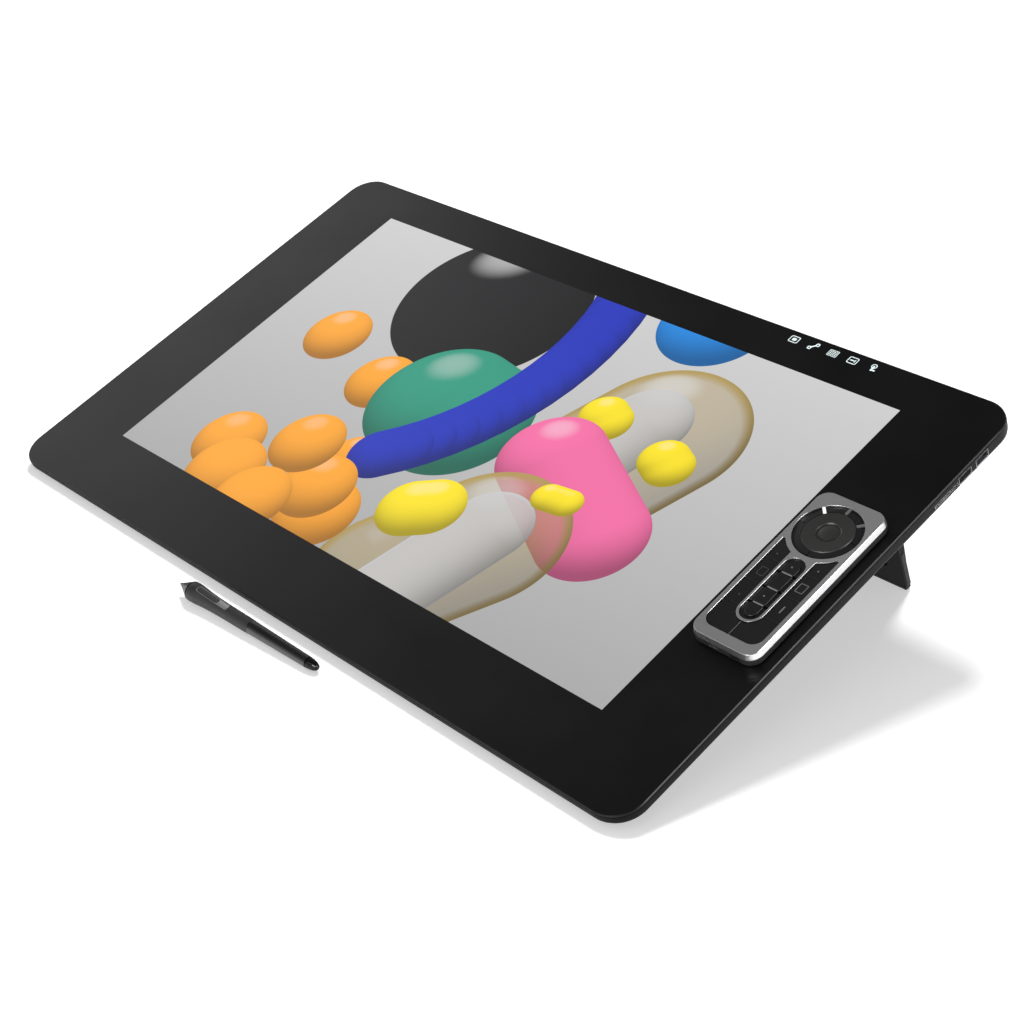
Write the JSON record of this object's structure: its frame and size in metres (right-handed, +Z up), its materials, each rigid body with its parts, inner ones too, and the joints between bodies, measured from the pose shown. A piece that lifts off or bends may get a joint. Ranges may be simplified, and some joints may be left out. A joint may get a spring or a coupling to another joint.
{
  "type": "pen drawing tablet",
  "caption": "Pen display leaning on fold-out legs, with a black-bordered glass face, a key remote lying on its edge and a pen lying in front.",
  "frame": {"origin": "middle of the footprint of the tablet and the pen, on the desk", "axes": "+X across the screen to the right, +Y away from the user, +Z up"},
  "size_m": [0.66, 0.3944, 0.1406],
  "materials": {
    "glass": "satin black border printed behind etched glass",
    "picture_panel": "lit liquid crystal panel",
    "white_plastic": "white light guide",
    "circuit_board": "green solder mask",
    "aluminium": "milled",
    "dark_metal": "black anodised",
    "black_shell": "fine spark texture",
    "steel": "zinc plated",
    "brass": "turned",
    "rubber": "matt",
    "socket_metal": "nickel plated",
    "black_gloss": "polished",
    "black_inner": "moulded",
    "remote_shell": "fine grain",
    "battery_wrap": "foil pouch",
    "silver_metal": "blasted and anodised",
    "ring_plastic": "satin",
    "key_plastic": "satin",
    "light_pipe": "frosted light pipe",
    "grip_rubber": "soft touch",
    "pen_key": "satin",
    "nib_plastic": "acetal",
    "pen_gloss": "polished"
  },
  "bodies": {
    "tablet": {"cover_glass": "glass", "screen_panel": "picture_panel", "backlight_plate": "white_plastic", "pen_sensor_board": "circuit_board", "chassis_plate": "aluminium", "glass_frame": "dark_metal", "rear_cover": "black_shell", "cover_screws": "steel", "mount_inserts": "brass", "leg_brackets": "steel", "leg_pins": "steel", "rubber_feet": "rubber", "bay_sockets": "socket_metal", "side_sockets": "socket_metal", "main_board": "circuit_board", "heat_sink": "aluminium", "blower_housings": "black_inner"},
    "leg_left": {"leg_left": "black_shell", "leg_foot_left": "rubber"},
    "leg_right": {"leg_right": "black_shell", "leg_foot_right": "rubber"},
    "blower_rotor_left": {"blower_rotor_left": "black_inner"},
    "blower_rotor_right": {"blower_rotor_right": "black_inner"},
    "cable_bay_cover": {"cable_bay_cover": "black_shell"},
    "power_button": {"power_button": "black_gloss"},
    "remote": {"remote_base": "remote_shell", "remote_feet": "rubber", "remote_battery": "battery_wrap", "remote_board": "circuit_board", "remote_socket": "socket_metal", "remote_frame": "silver_metal", "touch_ring": "ring_plastic", "ring_lights": "light_pipe", "remote_deck": "black_inner"},
    "remote_switch": {"remote_switch": "black_gloss"},
    "pen": {"pen_grip": "grip_rubber", "pen_switch_bezel": "silver_metal", "pen_cone": "black_gloss", "pen_core": "black_inner", "pen_barrel": "pen_gloss"},
    "pen_nib": {"pen_nib": "nib_plastic"},
    "pen_switch": {"pen_switch": "pen_key"},
    "pen_eraser": {"pen_eraser": "black_gloss"},
    "left_key_one": {"left_key_one": "key_plastic"},
    "left_key_two": {"left_key_two": "key_plastic"},
    "left_key_three": {"left_key_three": "key_plastic"},
    "left_key_corner": {"left_key_corner": "key_plastic"},
    "right_key_one": {"right_key_one": "key_plastic"},
    "right_key_two": {"right_key_two": "key_plastic"},
    "right_key_three": {"right_key_three": "key_plastic"},
    "right_key_corner": {"right_key_corner": "key_plastic"},
    "pill_key_one": {"pill_key_one": "key_plastic"},
    "pill_key_two": {"pill_key_two": "key_plastic"},
    "pill_key_three": {"pill_key_three": "key_plastic"},
    "pill_key_four": {"pill_key_four": "key_plastic"},
    "arc_key_upper_right": {"arc_key_upper_right": "key_plastic"},
    "arc_key_upper_left": {"arc_key_upper_left": "key_plastic"},
    "arc_key_lower_left": {"arc_key_lower_left": "key_plastic"},
    "arc_key_lower_right": {"arc_key_lower_right": "key_plastic"},
    "centre_key": {"centre_key": "ring_plastic"}
  },
  "joints": [
    {"name": "leg_left_fold", "type": "hinge", "parent": "tablet", "child": "leg_left", "pos_m": [-0.2402, 0.13154, 0.09381], "axis": [1, 0, 0], "range_deg": [-90, 0]},
    {"name": "leg_right_fold", "type": "hinge", "parent": "tablet", "child": "leg_right", "pos_m": [0.2402, 0.13154, 0.09381], "axis": [1, 0, 0], "range_deg": [-90, 0]},
    {"name": "blower_left_spin", "type": "hinge", "parent": "tablet", "child": "blower_rotor_left", "pos_m": [0.095, 0.05877, 0.07882], "axis": [0, -0.342, 0.9397], "continuous": true},
    {"name": "blower_right_spin", "type": "hinge", "parent": "tablet", "child": "blower_rotor_right", "pos_m": [0.16, 0.05877, 0.07882], "axis": [0, -0.342, 0.9397], "continuous": true},
    {"name": "power_button_press", "type": "slide", "parent": "tablet", "child": "power_button", "axis": [0, -0.9397, -0.342], "range_m": [0, 0.0005], "stiffness_N_per_m": 400},
    {"name": "cable_bay_cover_lift", "type": "slide", "parent": "tablet", "child": "cable_bay_cover", "axis": [0, 0.2632, -0.9647], "range_m": [0, 0.02]},
    {"name": "remote_lift", "type": "slide", "parent": "tablet", "child": "remote", "axis": [0, -0.342, 0.9397], "range_m": [0, 0.05]},
    {"name": "left_key_one_press", "type": "slide", "parent": "remote", "child": "left_key_one", "axis": [0, 0.342, -0.9397], "range_m": [0, 0.0004], "stiffness_N_per_m": 400},
    {"name": "left_key_two_press", "type": "slide", "parent": "remote", "child": "left_key_two", "axis": [0, 0.342, -0.9397], "range_m": [0, 0.0004], "stiffness_N_per_m": 400},
    {"name": "left_key_three_press", "type": "slide", "parent": "remote", "child": "left_key_three", "axis": [0, 0.342, -0.9397], "range_m": [0, 0.0004], "stiffness_N_per_m": 400},
    {"name": "left_key_corner_press", "type": "slide", "parent": "remote", "child": "left_key_corner", "axis": [0, 0.342, -0.9397], "range_m": [0, 0.0004], "stiffness_N_per_m": 400},
    {"name": "right_key_one_press", "type": "slide", "parent": "remote", "child": "right_key_one", "axis": [0, 0.342, -0.9397], "range_m": [0, 0.0004], "stiffness_N_per_m": 400},
    {"name": "right_key_two_press", "type": "slide", "parent": "remote", "child": "right_key_two", "axis": [0, 0.342, -0.9397], "range_m": [0, 0.0004], "stiffness_N_per_m": 400},
    {"name": "right_key_three_press", "type": "slide", "parent": "remote", "child": "right_key_three", "axis": [0, 0.342, -0.9397], "range_m": [0, 0.0004], "stiffness_N_per_m": 400},
    {"name": "right_key_corner_press", "type": "slide", "parent": "remote", "child": "right_key_corner", "axis": [0, 0.342, -0.9397], "range_m": [0, 0.0004], "stiffness_N_per_m": 400},
    {"name": "pill_key_one_press", "type": "slide", "parent": "remote", "child": "pill_key_one", "axis": [0, 0.342, -0.9397], "range_m": [0, 0.0004], "stiffness_N_per_m": 400},
    {"name": "pill_key_two_press", "type": "slide", "parent": "remote", "child": "pill_key_two", "axis": [0, 0.342, -0.9397], "range_m": [0, 0.0004], "stiffness_N_per_m": 400},
    {"name": "pill_key_three_press", "type": "slide", "parent": "remote", "child": "pill_key_three", "axis": [0, 0.342, -0.9397], "range_m": [0, 0.0004], "stiffness_N_per_m": 400},
    {"name": "pill_key_four_press", "type": "slide", "parent": "remote", "child": "pill_key_four", "axis": [0, 0.342, -0.9397], "range_m": [0, 0.0004], "stiffness_N_per_m": 400},
    {"name": "arc_key_upper_right_press", "type": "slide", "parent": "remote", "child": "arc_key_upper_right", "axis": [0, 0.342, -0.9397], "range_m": [0, 0.0004], "stiffness_N_per_m": 400},
    {"name": "arc_key_upper_left_press", "type": "slide", "parent": "remote", "child": "arc_key_upper_left", "axis": [0, 0.342, -0.9397], "range_m": [0, 0.0004], "stiffness_N_per_m": 400},
    {"name": "arc_key_lower_left_press", "type": "slide", "parent": "remote", "child": "arc_key_lower_left", "axis": [0, 0.342, -0.9397], "range_m": [0, 0.0004], "stiffness_N_per_m": 400},
    {"name": "arc_key_lower_right_press", "type": "slide", "parent": "remote", "child": "arc_key_lower_right", "axis": [0, 0.342, -0.9397], "range_m": [0, 0.0004], "stiffness_N_per_m": 400},
    {"name": "centre_key_press", "type": "slide", "parent": "remote", "child": "centre_key", "axis": [0, 0.342, -0.9397], "range_m": [0, 0.0004], "stiffness_N_per_m": 400},
    {"name": "remote_switch_slide", "type": "slide", "parent": "remote", "child": "remote_switch", "axis": [1, 0, 0], "range_m": [0, 0.0028]},
    {"name": "pen_lift", "type": "slide", "parent": "tablet", "child": "pen", "axis": [0, 0, 1], "range_m": [0, 0.1]},
    {"name": "pen_switch_rock", "type": "hinge", "parent": "pen", "child": "pen_switch", "pos_m": [-0.04008, -0.19006, 0.01009], "axis": [-0.0317, 0.9843, 0.1736], "range_deg": [-2.5, 2.5], "stiffness_Nm_per_rad": 0.5},
    {"name": "pen_nib_press", "type": "slide", "parent": "pen", "child": "pen_nib", "axis": [0.999, 0.0366, -0.0253], "range_m": [0, 0.0005], "stiffness_N_per_m": 1000},
    {"name": "pen_eraser_press", "type": "slide", "parent": "pen", "child": "pen_eraser", "axis": [-0.999, -0.0366, 0.0253], "range_m": [0, 0.0005], "stiffness_N_per_m": 1000}
  ]
}
